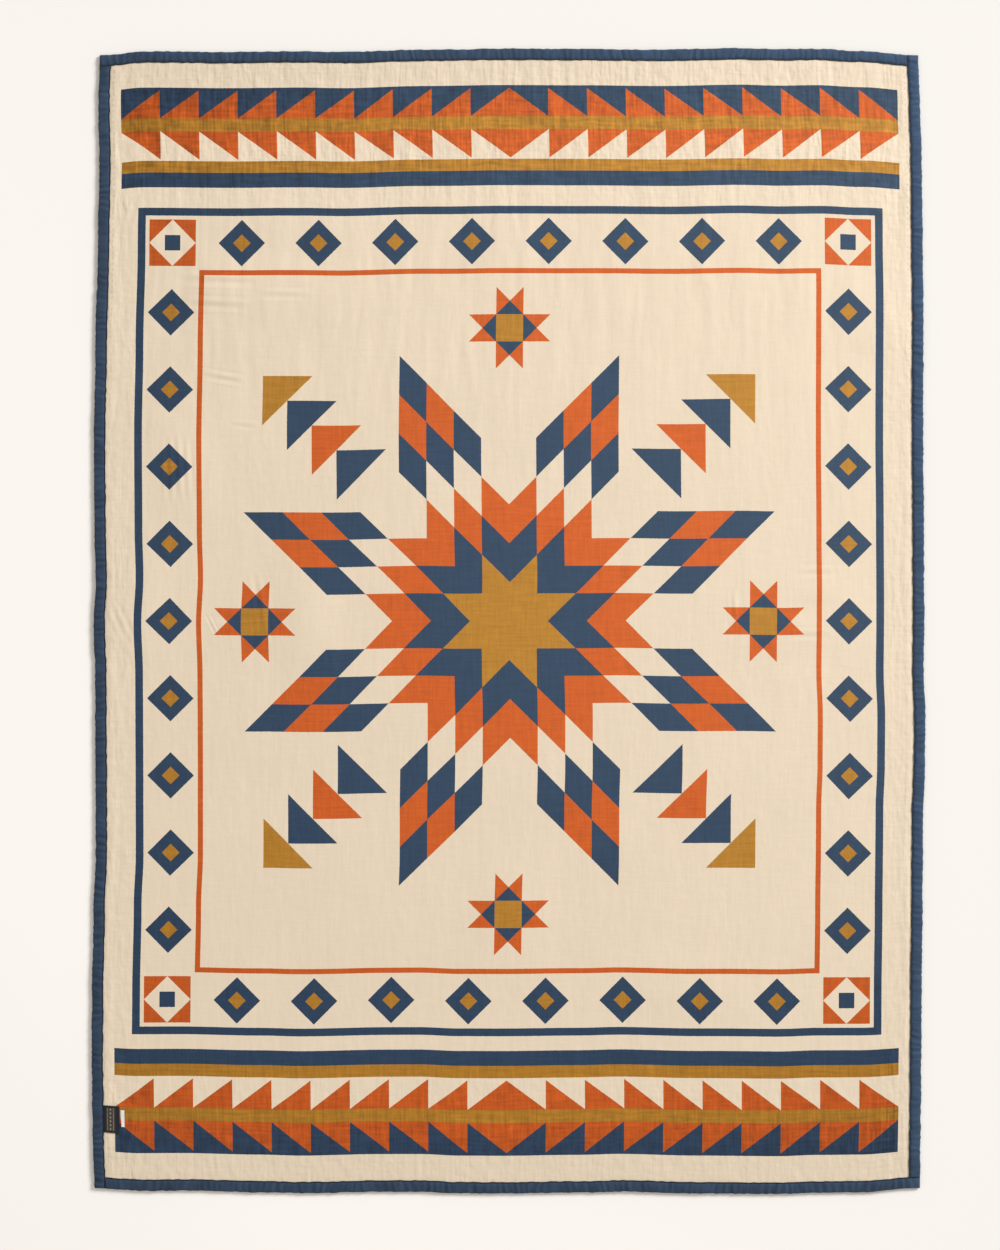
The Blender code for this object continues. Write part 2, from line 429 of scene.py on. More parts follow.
# Upper leaf of the folded strip, from its inner edge to the fold.
# Rows: (way in from the fold, height over the plain leaf, share of the puckers), mm
UPPER_LEAF = (
    (17.8, -0.30, 0.3),
    (17.3, 0.02, 0.5),
    (16.6, -0.05, 0.4),
    (16.0, -0.26, 0.2),
    (15.4, -0.05, 0.4),
    (14.2, 0.12, 0.8),
    (12.0, 0.24, 1.0),
    (9.0, 0.28, 1.0),
    (6.0, 0.18, 1.0),
    (4.0, 0.04, 0.9),
)
# Lower leaf, from the fold to its inner edge. It lies on the floor
LOWER_LEAF = (
    (5.0, 0.0, 0.3),
    (11.0, 0.0, 0.2),
    (17.8, 0.0, 0.0),
)
FOLD_STEPS = 7
STRIP_MAP_ROWS = 24
FIRST_STRIP_SEED = 40
SEEDS_PER_STRIP = 10
STITCH_LINE_IN = 0.0160
TUCKED_END_STEPS = (0.0, 0.0004, 0.0010, 0.0018, 0.0030)


def strip_profile():
    """The strip's outside from inner edge round the fold: unfolded place, way in, height, pucker share."""
    points = [(inward_mm * MM, BINDING_THICK + rise * MM, share) for inward_mm, rise, share in UPPER_LEAF]
    radius = BINDING_THICK / 2
    for step in range(FOLD_STEPS + 1):
        angle = math.pi / 2 + math.pi * step / FOLD_STEPS
        points.append((radius + radius * math.cos(angle), radius + radius * math.sin(angle), 0.6))
    points += [(inward_mm * MM, rise * MM, share) for inward_mm, rise, share in LOWER_LEAF]
    way_in, height, share = np.array(points).T
    unfolded = np.concatenate([[0], np.cumsum(np.hypot(np.diff(way_in), np.diff(height)))])
    return unfolded, way_in, height, share


UNFOLDED, WAY_IN, HEIGHT, PUCKER_SHARE = strip_profile()


def strip_seed(number):
    """The first of the random seeds that one strip's puckers use."""
    return FIRST_STRIP_SEED + SEEDS_PER_STRIP * number


def label_bulge(u, v):
    """The left strip rides up a little where the label is sewn in under it."""
    beside = np.abs(v - LABEL_MIDDLE_V) - LABEL_WIDTH / 2
    return 0.0007 * eased(-beside / 0.003 + 0.5) * (u < 0)


def strip_points(along, across, half, on_cloth, seed, pitch):
    """Where the strip's points lie: folded, puckered, uneven, and rounded at its tucked end."""
    way_in = np.interp(across, UNFOLDED, WAY_IN)
    height = np.interp(across, UNFOLDED, HEIGHT)
    share = np.interp(across, UNFOLDED, PUCKER_SHARE)
    outer = 1 - np.clip(way_in / BINDING_SHOWS, 0, 1)
    drift = 3 * MM * lumps(seed + 1, along, across, 0.030, 0.016)
    fine = lumps(seed, along + drift, across, pitch / 2, 0.012)
    broad = lumps(seed + 2, along + 2 * drift, across, pitch * 1.3, 0.022)
    pucker = MM * (1.0 + 0.60 * fine + 0.45 * broad)
    close_waves = lumps(seed + 3, along, across, pitch / 2, 1.0)
    wide_waves = lumps(seed + 4, along, across, 0.021, 1.0)
    at_edge = MM * (0.55 * close_waves + 0.35 * wide_waves)
    upper = height > BINDING_THICK / 2
    from_end = along + half
    wobble = MM * 0.55 * lumps(seed + 5, along, across, 0.0075, 1.0)
    wobble = wobble * eased((from_end - BINDING_SHOWS) / 0.008)
    way_in = way_in - outer * at_edge + (1 - outer) * wobble * upper
    rounding = 0.42 + 0.58 * np.sqrt(np.clip(from_end / 0.003, 0, 1))
    height = BINDING_THICK / 2 + (height - BINDING_THICK / 2) * rounding
    height = height + share * pucker * rounding
    u, v = on_cloth(along, way_in)
    height = height + np.where(upper, label_bulge(u, v) * (1 - outer), 0)
    return placed(u, v, height)


def close_tucked_end(piece, ring):
    """Closes the strip's tucked end with a face over the points of its first ring."""
    bm = bmesh.new()
    bm.from_mesh(piece.data)
    bm.verts.ensure_lookup_table()
    face = bm.faces.new([bm.verts[index] for index in ring])
    face.smooth = True
    flat = bm.loops.layers.uv["flat"]
    for loop in face.loops:
        others = [other[flat].uv.copy() for other in loop.vert.link_loops if other.face is not face]
        loop[flat].uv = (others[0].x, others[0].y - 0.5 * min(others[0].x, UNFOLDED[-1] - others[0].x))
    bmesh.ops.recalc_face_normals(bm, faces=bm.faces[:])
    bm.to_mesh(piece.data)
    bm.free()


def binding_strip(name, half, butt, on_cloth, seed, pitch, materials):
    """One strip of binding, from its tucked end at -half to the end that butts against the next strip."""
    even = steps_between(-half + TUCKED_END_STEPS[-1], butt, BINDING_STEP)
    along = np.concatenate([-half + np.array(TUCKED_END_STEPS[:-1]), even])

    def place(across, places):
        return strip_points(places, across, half, on_cloth, seed, pitch)

    strip = grid_piece(name, UNFOLDED, along, place, materials)
    first_ring = range(len(UNFOLDED))
    close_tucked_end(strip, first_ring)
    thickened(strip, BINDING_LEAF)
    bake_map(strip, rows=STRIP_MAP_ROWS)
    return strip


SIDES = {
    "left": (HALF_LENGTH, BINDING_INNER_V, lambda place, way_in: (way_in - HALF_WIDTH, place)),
    "head": (HALF_WIDTH, BINDING_INNER_U, lambda place, way_in: (place, HALF_LENGTH - way_in)),
    "right": (HALF_LENGTH, BINDING_INNER_V, lambda place, way_in: (HALF_WIDTH - way_in, -place)),
    "foot": (HALF_WIDTH, BINDING_INNER_U, lambda place, way_in: (-place, way_in - HALF_LENGTH)),
}
PUCKER_PITCH = {"left": 0.0078, "head": 0.0120, "right": 0.0078, "foot": 0.0120}


def binding(materials):
    """The four strips, anticlockwise round the blanket, each butting against the side of the next."""
    strips = []
    for number, (side, (half, inner, on_cloth)) in enumerate(SIDES.items()):
        name = "folded_strip_" + side
        seed = strip_seed(number)
        strip = binding_strip(name, half, inner - GAP, on_cloth, seed, PUCKER_PITCH[side], materials)
        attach(strip, "root")
        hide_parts("binding_" + side)
        strips.append(strip)
    return strips


# Stitches

STITCH_LENGTH = 0.0026
STITCH_PITCH = 0.0034
THREAD_RADIUS = 0.00024


def one_stitch():
    """A short length of thread with rounded ends, lying along X."""
    bpy.ops.object.select_all(action="DESELECT")
    bpy.ops.mesh.primitive_cylinder_add(
        vertices=6, radius=THREAD_RADIUS, depth=STITCH_LENGTH, rotation=(0, math.pi / 2, 0)
    )
    stitch = bpy.context.object
    bpy.ops.object.transform_apply(location=False, rotation=True, scale=False)
    bevel = stitch.modifiers.new("rounded_ends", "BEVEL")
    bevel.width = THREAD_RADIUS * 0.6
    bevel.segments = 1
    bevel.limit_method = "ANGLE"
    bevel.angle_limit = math.radians(70)
    bpy.ops.object.modifier_apply(modifier=bevel.name)
    return stitch


def stitched(name, model, lines, material):
    """Copies of one stitch, joined. lines are (points, directions) of the stitches of each seam."""
    points = np.concatenate([line[0] for line in lines])
    ways = np.concatenate([line[1] for line in lines])
    ways /= np.linalg.norm(ways, axis=1, keepdims=True)
    sideways = np.cross([0, 0, 1.0], ways)
    sideways /= np.linalg.norm(sideways, axis=1, keepdims=True)
    upwards = np.cross(ways, sideways)
    mesh = model.data
    own = np.empty(len(mesh.vertices) * 3, np.float32)
    mesh.vertices.foreach_get("co", own)
    own = own.reshape(-1, 3)
    turned = own[None, :, :1] * ways[:, None]
    turned = turned + own[None, :, 1:2] * sideways[:, None]
    turned = turned + own[None, :, 2:] * upwards[:, None]
    corners = (turned + points[:, None]).reshape(-1, 3)
    own_faces = [list(face.vertices) for face in mesh.polygons]
    faces = [[k * len(own) + i for i in face] for k in range(len(points)) for face in own_faces]
    joined = bpy.data.meshes.new(name)
    joined.from_pydata(corners.tolist(), [], faces)
    joined.shade_smooth()
    joined.materials.append(material)
    piece = bpy.data.objects.new(name, joined)
    bpy.context.scene.collection.objects.link(piece)
    bpy.data.objects.remove(model)
    return piece


def strip_seam(side, number):
    """The stitches that hold one strip down: their middles, and the ways they lie."""
    half, inner, on_cloth = SIDES[side]
    middles = np.arange(-half + 0.004, inner - 0.003, STITCH_PITCH)
    across = np.interp(STITCH_LINE_IN, WAY_IN[: len(UPPER_LEAF)][::-1], UNFOLDED[: len(UPPER_LEAF)][::-1])
    ends = []
    for end in (middles - STITCH_LENGTH / 2, middles + STITCH_LENGTH / 2):
        places = np.full_like(end, across)
        ends.append(strip_points(end, places, half, on_cloth, strip_seed(number), PUCKER_PITCH[side]))
    lying = (ends[0] + ends[1]) / 2 + np.array([0, 0, THREAD_RADIUS * 0.7])
    return lying, ends[1] - ends[0]


# Label and care tag

LABEL_CLOTH_THICK = 0.00028
TAG_CLOTH_THICK = 0.00022
LABEL_LAYERS_APART = 0.0006
LABEL_MIDDLE_IN = 0.0116


def looped_label(material):
    """A satin tape folded into a loop, both ends caught under the left strip."""
    start = -BINDING_INNER_U - 0.0012
    end = -BINDING_INNER_U + LABEL_SHOWS
    leaf = end - start
    bend = LABEL_LAYERS_APART / 2
    straight = leaf - bend
    upper_layer = np.linspace(0, straight, 22)
    round_bend = straight + np.linspace(0.2, 1, 6) * math.pi * bend
    lower_layer = straight + math.pi * bend + np.linspace(0.04, 1, 22) * straight
    tape = np.concatenate([upper_layer, round_bend, lower_layer])
    down = steps_between(-LABEL_WIDTH / 2, LABEL_WIDTH / 2, 0.0012)

    def place(across, along):
        turn = np.clip((across - straight) / bend, 0, math.pi)
        back = np.clip(across - straight - math.pi * bend, 0, None)
        u = start + np.minimum(across, straight) + bend * np.sin(turn) - back
        v = LABEL_MIDDLE_V + along
        out = np.clip((u - start) / leaf, 0, 1)
        over = bend * np.cos(turn)
        ripple = 0.00035 * np.sin(along / LABEL_WIDTH * 5.2 + 0.7) * out
        curl = 0.0005 * out * (2 * along / LABEL_WIDTH) ** 2
        rise = 0.00035 + 0.0016 * eased(out * 2.2) + 0.0007 * out + (ripple + curl)
        return placed(u, v, edge_rise(u, v) + CLOTH_THICK + rise + over * (0.2 + 0.8 * eased(out * 3)))

    label = grid_piece("woven_label", tape, down, place, (material, material))
    thickened(label, LABEL_CLOTH_THICK)
    return label


def hanging_tag(material):
    """A short white tape between the label and the cloth. Its free end curls up a little."""
    start = -BINDING_INNER_U - 0.0008
    shows = steps_between(0, -BINDING_INNER_U + TAG_SHOWS - start, 0.0012)
    down = steps_between(-TAG_WIDTH / 2, TAG_WIDTH / 2, 0.0012)

    def place(across, along):
        u = start + across
        v = TAG_MIDDLE_V + along + 0.0004 * np.sin(across * 160)
        out = np.clip(across / shows[-1], 0, 1)
        uneven = 1 + 0.25 * np.sin(along * 190)
        curl = 0.0013 * np.clip(out - 0.72, 0, 1) / 0.28 * uneven
        rise = 0.00032 + 0.00040 * eased(out * 3) + curl
        return placed(u, v, edge_rise(u, v) + CLOTH_THICK + rise)

    tag = grid_piece("white_care_tag", shows, down, place, (material, material))
    thickened(tag, TAG_CLOTH_THICK)
    return tag


# Working out numbers in a material


class Measure:
    """A number that a material works out at every point of its surface."""

    def __init__(self, tree, socket):
        self.tree = tree
        self.socket = socket

    def with_(self, operation, *others):
        """The measure put through a math node, with the others as the node's further inputs."""
        node = self.tree.nodes.new("ShaderNodeMath")
        node.operation = operation
        for slot, value in zip(node.inputs, (self, *others)):
            if isinstance(value, Measure):
                self.tree.links.new(value.socket, slot)
            else:
                slot.default_value = value
        return Measure(self.tree, node.outputs[0])

    def __add__(self, other):
        return self.with_("ADD", other)

    def __sub__(self, other):
        return self.with_("SUBTRACT", other)

    def __rsub__(self, other):
        return self.with_("MULTIPLY_ADD", -1.0, other)

    def __mul__(self, other):
        return self.with_("MULTIPLY", other)

    def __truediv__(self, other):
        return self.with_("DIVIDE", other)

    __radd__ = __add__
    __rmul__ = __mul__

    def size(self):
        return self.with_("ABSOLUTE")

    def whole(self):
        return self.with_("FLOOR")

    def part(self):
        return self.with_("FRACT")

    def below(self, other):
        return self.with_("LESS_THAN", other)

    def over(self, other):
        return self.with_("GREATER_THAN", other)

    def least(self, other):
        return self.with_("MINIMUM", other)

    def most(self, other):
        return self.with_("MAXIMUM", other)

    def clamped(self):
        return self.most(0.0).least(1.0)

    def hump(self):
        """1 where the measure is 0, falling to 0 at 1 and at -1."""
        return (1.0 - self * self).clamped()

    def wave(self, pitch):
        """A wave from -1 to 1 that repeats once each pitch."""
        return (self * (2 * math.pi / pitch)).with_("SINE")


def flat_place(tree):
    """The surface's own flat place, in metres, as two measures."""
    uv = tree.nodes.new("ShaderNodeUVMap")
    uv.uv_map = "flat"
    parts = tree.nodes.new("ShaderNodeSeparateXYZ")
    tree.links.new(uv.outputs[0], parts.inputs[0])
    return Measure(tree, parts.outputs[0]), Measure(tree, parts.outputs[1])


def own_place(tree):
    """Where the point is in its object, in metres, as two measures."""
    coords = tree.nodes.new("ShaderNodeTexCoord")
    parts = tree.nodes.new("ShaderNodeSeparateXYZ")
    tree.links.new(coords.outputs["Object"], parts.inputs[0])
    return Measure(tree, parts.outputs[0]), Measure(tree, parts.outputs[1])


def speckle(across, along, size_across, size_along, detail=2.0, seed=0.0):
    """Random lights and darks from -1 to 1 about 0, in patches of the given size."""
    tree = across.tree
    join = tree.nodes.new("ShaderNodeCombineXYZ")
    tree.links.new((across / size_across).socket, join.inputs[0])
    tree.links.new((along / size_along).socket, join.inputs[1])
    join.inputs[2].default_value = seed
    noise = tree.nodes.new("ShaderNodeTexNoise")
    noise.inputs["Scale"].default_value = 1.0
    noise.inputs["Detail"].default_value = detail
    tree.links.new(join.outputs[0], noise.inputs["Vector"])
    return Measure(tree, noise.outputs[0]) * 2.0 - 1.0


def dyed(tree, under, dye, where):
    """Lays a dye, a colour or a colour socket, over what is under it."""
    mix = tree.nodes.new("ShaderNodeMix")
    mix.data_type = "RGBA"
    tree.links.new(where.socket, mix.inputs["Factor"])
    for slot, colour in ((mix.inputs[6], under), (mix.inputs[7], dye)):
        if isinstance(colour, tuple):
            slot.default_value = (*colour, 1.0)
        else:
            tree.links.new(colour, slot)
    return mix.outputs[2]


def shaded(tree, colour, factor):
    """A colour made lighter or darker by a measure round 1."""
    spread = tree.nodes.new("ShaderNodeCombineXYZ")
    for slot in spread.inputs:
        tree.links.new(factor.socket, slot)
    times = tree.nodes.new("ShaderNodeVectorMath")
    times.operation = "MULTIPLY"
    tree.links.new(colour, times.inputs[0])
    tree.links.new(spread.outputs[0], times.inputs[1])
    return times.outputs[0]


def cloth_finish(name, roughness, sheen):
    """A new cloth material: its tree and its shader, with what is the same all over the surface."""
    material = bpy.data.materials.new(name)
    material.use_nodes = True
    tree = material.node_tree
    shader = tree.nodes["Principled BSDF"]
    shader.inputs["Roughness"].default_value = roughness
    shader.inputs["Specular IOR Level"].default_value = 0.25
    shader.inputs["Sheen Weight"].default_value = sheen
    shader.inputs["Sheen Roughness"].default_value = 0.5
    shader.inputs["Sheen Tint"].default_value = (1.0, 0.97, 0.92, 1.0)
    return material, tree, shader


def raised(tree, shader, height, strength):
    """Bump from a measure of height in metres."""
    bump = tree.nodes.new("ShaderNodeBump")
    bump.inputs["Strength"].default_value = strength
    bump.inputs["Distance"].default_value = 1.0
    tree.links.new(height.socket, bump.inputs["Height"])
    tree.links.new(bump.outputs[0], shader.inputs["Normal"])


# The dyes, as they look on the gauze, and the colour of the painted sheen
CREAM = (0.765, 0.646, 0.501)
NAVY = (0.0260, 0.0555, 0.1110)
RUST = (0.612, 0.1068, 0.0107)
OCHRE = (0.466, 0.2080, 0.0200)
# The pale colour of a painted sheen, mixed into the inks towards the window
PAINTED_SHEEN = (0.74, 0.88, 0.78)
BACK_CREAM = (0.790, 0.665, 0.495)
BINDING_NAVY = (0.0300, 0.0565, 0.1045)
THREAD_NAVY = (0.016, 0.022, 0.042)
LABEL_BLACK = (0.012, 0.014, 0.024)
LABEL_THREAD = (0.290, 0.250, 0.170)
LABEL_GROUND = (0.064, 0.052, 0.042)
TAG_WHITE = (0.930, 0.920, 0.935)

# The bands across both ends, from the outside in. TOOTH is the width of one tooth.
# Rows: distance of the first line from the middle, then heights of the top line, the outer teeth,
# the stripe, the inner teeth, the bare line under them, the ochre stripe and the navy stripe
BAND_HALF_WIDTH = 0.605
TOOTH = 0.0605
HEAD_BAND = (0.8262, 0.004, 0.0435, 0.020, 0.044, 0.002, 0.018, 0.023)
FOOT_BAND = (0.8242, 0.004, 0.0465, 0.0200, 0.0455, 0.0035, 0.0190, 0.023)

# The field: a frame of squares on point, a great eight-pointed star of diamonds,
# a small star block in each side notch, and triangles flying out to the corners
FRAME_HALF_U = 0.578
FRAME_HALF_V = 0.640
FRAME_DEPTH = 0.096
FRAME_LINE = 0.012
FRAME_INNER_LINE = 0.008
FRAME_SQUARE = 0.036
FRAME_SQUARES_ACROSS = 8
FRAME_SQUARES_UP = 9
STAR_DIAMOND = 0.240
STAR_ROUNDS = 4
SMALL_BLOCK_CELL = 0.042
SMALL_BLOCK_U = 0.392
SMALL_BLOCK_V = 0.452
GOOSE = 0.054
GEESE_START = 0.322

# The fine relief of the gauze, and the row of dimples along the seams, which is painted shade only
WEAVE_PITCH = 0.0012
WEAVE_HEIGHT = 0.00002
CREASE_HEIGHT = 0.00035
DIMPLE_LINE_IN = 0.0056
DIMPLE_RADIUS = 0.0014
DIMPLE_PITCH = 0.0088


def band(u, out, rows):
    """Saw-tooth band and plain stripes across one end, mirrored at the blanket's middle line."""
    edge, top_line, outer_teeth, stripe, inner_teeth, bare_line, ochre_stripe, navy_stripe = rows
    inside = u.size().below(BAND_HALF_WIDTH)
    from_middle = (u.size() / TOOTH).part()
    layers = [("navy", inside * out.below(edge) * out.over(edge - top_line - outer_teeth))]
    edge -= top_line + outer_teeth
    tooth_height = (out - edge) / outer_teeth
    layers.append(("rust", inside * out.over(edge) * (tooth_height + from_middle).below(1.0)))
    layers.append(("ochre", inside * out.below(edge) * out.over(edge - stripe)))
    edge -= stripe
    tooth_height = (edge - out) / inner_teeth
    layers.append(("rust", inside * out.below(edge) * (tooth_height + from_middle).below(1.0)))
    edge -= inner_teeth + bare_line
    layers.append(("ochre", inside * out.below(edge) * out.over(edge - ochre_stripe)))
    edge -= ochre_stripe
    layers.append(("navy", inside * out.below(edge) * out.over(edge - navy_stripe)))
    return layers


def frame_lines(u, v):
    """A navy line round the field and a rust one inside it."""
    out = (u.size() - FRAME_HALF_U).most(v.size() - FRAME_HALF_V)
    navy = out.below(0.0) * out.over(-FRAME_LINE)
    rust = out.below(-FRAME_DEPTH) * out.over(-FRAME_DEPTH - FRAME_INNER_LINE)
    return [("navy", navy), ("rust", rust)]


def frame_squares(u, v):
    """Squares on point between the frame's lines, and a block in each corner."""
    middle = (FRAME_DEPTH + FRAME_LINE) / 2
    layers = []
    for along, across, half_along, half_across, count in (
        (u, v, FRAME_HALF_U, FRAME_HALF_V, FRAME_SQUARES_ACROSS),
        (v, u, FRAME_HALF_V, FRAME_HALF_U, FRAME_SQUARES_UP),
    ):
        half_run = half_along - FRAME_DEPTH - FRAME_LINE / 2
        pitch = 2 * half_run / count
        from_middle = (((along + half_run) / pitch).part() - 0.5).size() * pitch
        off_line = (across.size() - (half_across - middle)).size()
        in_run = along.size().below(half_run)
        reach = from_middle + off_line
        layers.append(("navy", in_run * reach.below(FRAME_SQUARE)))
        layers.append(("ochre", in_run * reach.below(FRAME_SQUARE * 0.38)))
    to_side = (u.size() - (FRAME_HALF_U - middle)).size()
    to_end = (v.size() - (FRAME_HALF_V - middle)).size()
    square = to_side.most(to_end)
    layers.append(("rust", square.below(FRAME_SQUARE)))
    layers.append(("cream", (to_side + to_end).below(FRAME_SQUARE)))
    layers.append(("navy", square.below(FRAME_SQUARE / 3)))
    return layers


def great_star(u, v):
    """Eight diamonds, each of small diamonds whose colour goes by rounds from the middle out."""
    far = u.size().most(v.size())
    near = u.size().least(v.size())
    first = far - near
    second = near * math.sqrt(2)
    inside = first.most(second).below(STAR_DIAMOND)
    small = STAR_DIAMOND / STAR_ROUNDS
    rounds = (first / small).whole() + (second / small).whole()
    layers = []
    for number, dye in enumerate(("ochre", "navy", "rust", None, "navy", "rust", "navy")):
        if dye:
            this_round = (rounds - number).size().below(0.5)
            layers.append((dye, inside * this_round))
    return layers


def small_blocks(u, v):
    """Four small star blocks in the notches of the great star."""
    layers = []
    for across, along in (
        (u / SMALL_BLOCK_CELL, (v.size() - SMALL_BLOCK_V) / SMALL_BLOCK_CELL),
        ((u.size() - SMALL_BLOCK_U) / SMALL_BLOCK_CELL, v / SMALL_BLOCK_CELL),
    ):
        far = across.size().most(along.size())
        near = across.size().least(along.size())
        beside = far.over(0.5) * near.below(0.5)
        layers.append(("rust", beside * far.below(1.5) * (far - 1.0).size().below(near)))
        layers.append(("navy", beside * (far + near).below(1.0)))
        layers.append(("ochre", far.below(0.5)))
    return layers


def flying_geese(u, v):
    """Four triangles along each diagonal, flying out from the star."""
    along = (u.size() + v.size()) / math.sqrt(2) - GEESE_START
    across = (u.size() - v.size()).size() / math.sqrt(2)
    reach = along / GOOSE
    goose = (across / GOOSE + reach.part()).below(1.0)
    layers = []
    for number, dye in enumerate(("navy", "rust", "navy", "ochre")):
        layers.append((dye, goose * (reach.whole() - number).size().below(0.5)))
    return layers


def printed_gauze():
    """Cream gauze with the print, whose edges feather along the threads, with painted shade, painted light
    and a painted sheen over it.
    """
    material, tree, shader = cloth_finish("printed_gauze", 0.92, 0.12)
    u, v = flat_place(tree)
    feather_u = speckle(u, v, 0.0040, 0.0008, detail=1.0, seed=3.1) * 0.0005
    feather_v = speckle(u, v, 0.0008, 0.0040, detail=1.0, seed=7.4) * 0.0005
    print_u = u + feather_u
    print_v = v + feather_v
    layers = band(print_u, print_v, HEAD_BAND) + band(print_u, print_v * -1.0, FOOT_BAND)
    layers += frame_lines(print_u, print_v) + frame_squares(print_u, print_v)
    layers += great_star(print_u, print_v) + small_blocks(print_u, print_v) + flying_geese(print_u, print_v)
    dyes = {"cream": CREAM, "navy": NAVY, "rust": RUST, "ochre": OCHRE}
    colour = CREAM
    ink = layers[0][1]
    for dye, where in layers:
        colour = dyed(tree, colour, dyes[dye], where)
        ink = ink.least(1.0 - where) if dye == "cream" else ink.most(where)
    streaks_up = speckle(u, v, 0.0034, 0.045, detail=2.0, seed=1.0)
    streaks_across = speckle(u, v, 0.050, 0.0036, detail=2.0, seed=2.0)
    blotches = speckle(u, v, 0.090, 0.120, detail=2.0, seed=5.0)
    grain = speckle(u, v, 0.0017, 0.0017, detail=2.0, seed=6.0)
    # The first measure from gauze_relief is painted shade: it makes the colour lighter on the crinkles'
    # crests and darker in their valleys.
    crease_shade, height = gauze_relief(u, v)
    # Painted shade and light: the colour is darker over the crinkled bands at both ends, and u * v makes it
    # lighter in the upper right and lower left quarters and darker in the other two.
    ends = ((v.size() - 0.76) / 0.08).clamped()
    plain = streaks_up * 0.03 + streaks_across * 0.03 + blotches * 0.03 + grain * 0.035 - crease_shade * 0.030
    # The dimples along the side seams are painted shade: dark dots with no relief.
    plain = plain - ends * 0.045 + u * v * 0.05 - painted_dimple_shade(u, v) * 0.24
    # Painted light and shade: the inks are lighter towards the window and the middle of the cloth, and darker
    # towards its far edges.
    towards_window = u * 0.108 + v * 0.060 + u * v * 0.127 - u * u * 0.262 - v * v * 0.212
    on_ink = towards_window + streaks_up * 0.12 + streaks_across * 0.14 + grain * 0.16 - crease_shade * 0.20
    # Painted sheen: a pale colour mixed into the inks, strongest towards the window.
    sheen = u * 0.0137 + v * 0.0118 + u * v * 0.0118 - u * u * 0.0056 - v * v * 0.0162 + 0.0151
    colour = shaded(tree, colour, 1.0 + plain + ink * on_ink)
    colour = dyed(tree, colour, PAINTED_SHEEN, ink * sheen.clamped())
    tree.links.new(colour, shader.inputs["Base Color"])
    raised(tree, shader, height, 0.8)
    return material


def drawn_in(u, v):
    """How much the gauze is drawn in: most at the head end, and a little along the other edges."""
    head = ((v - 0.60) / 0.17).clamped()
    foot = ((v * -1.0 - 0.66) / 0.12).clamped() * 0.34
    side = ((u.size() - 0.55) / 0.06).clamped() * 0.45
    return (head + foot + side + 0.17).least(0.80)


def painted_dimple_shade(u, v):
    """Painted shade of small dimples just inside the side strips: dark dots with no relief of their own. They
    fade away from the head end.
    """
    off_line = (u.size() * -1.0 + (BINDING_INNER_U - DIMPLE_LINE_IN)).size()
    dimple = (1.0 - off_line / DIMPLE_RADIUS).clamped() * (v.wave(DIMPLE_PITCH) + 0.25).clamped()
    return dimple * ((v - 0.25) / 0.35).clamped()


def creases(u, v):
    """The height of all the crease fans together, between about -2 and 2."""
    total = 0.0
    for middle_u, middle_v, lean, pitch, half_across, half_along, level, strength in CREASE_FANS:
        across, along = u - middle_u * MM, v - middle_v * MM
        if level:
            across, along = along, across
        across = across + along * lean
        near = (across / (half_across * MM)).hump() * (along / (half_along * MM)).hump()
        total = across.wave(pitch * MM) * near * strength + total
    return total


def gauze_relief(u, v):
    """The fine crinkles and the weave: the painted shade of the crinkles, and the height in metres."""
    drawn = drawn_in(u, v)
    drift = speckle(u, v, 0.050, 0.260, detail=1.0, seed=15.0) * 0.009
    patches = (speckle(u, v, 0.022, 0.034, detail=1.0, seed=18.0) * 1.6 + 0.6).clamped()
    rows = (u + drift).wave(0.0054) * patches
    columns = (v + drift).wave(0.0066) * patches
    ribs = speckle(u + drift, v, 0.0074, 0.050, detail=1.0, seed=11.0)
    cross_ribs = speckle(u, v + drift, 0.050, 0.0062, detail=1.0, seed=12.0)
    pillows = speckle(u + drift, v, 0.012, 0.018, detail=1.0, seed=13.0)
    # Painted shade: darker in the valleys of the ribs, cross ribs and pillows, and along rows and columns
    # that are painted only, with no height.
    shade = (rows * -0.42 - columns * 0.20 - ribs * 1.9 - cross_ribs * 1.3 - pillows * 1.2) * drawn
    weave = u.wave(WEAVE_PITCH) * v.wave(WEAVE_PITCH) * WEAVE_HEIGHT
    height = ribs * 0.00078 + cross_ribs * 0.00036 + pillows * 0.00110
    height = height * drawn + weave + creases(u, v) * CREASE_HEIGHT
    return shade, height


def plain_gauze():
    """The cream back of the gauze."""
    material, tree, shader = cloth_finish("plain_gauze", 0.93, 0.12)
    u, v = flat_place(tree)
    streaks = speckle(u, v, 0.0032, 0.110, detail=3.0, seed=1.0) * 0.03
    streaks = streaks + speckle(u, v, 0.120, 0.0036, detail=3.0, seed=2.0) * 0.02
    base = tree.nodes.new("ShaderNodeRGB")
    base.outputs[0].default_value = (*BACK_CREAM, 1.0)
    tree.links.new(shaded(tree, base.outputs[0], 1.0 + streaks), shader.inputs["Base Color"])
    raised(tree, shader, gauze_relief(u, v)[1], 0.8)
    return material


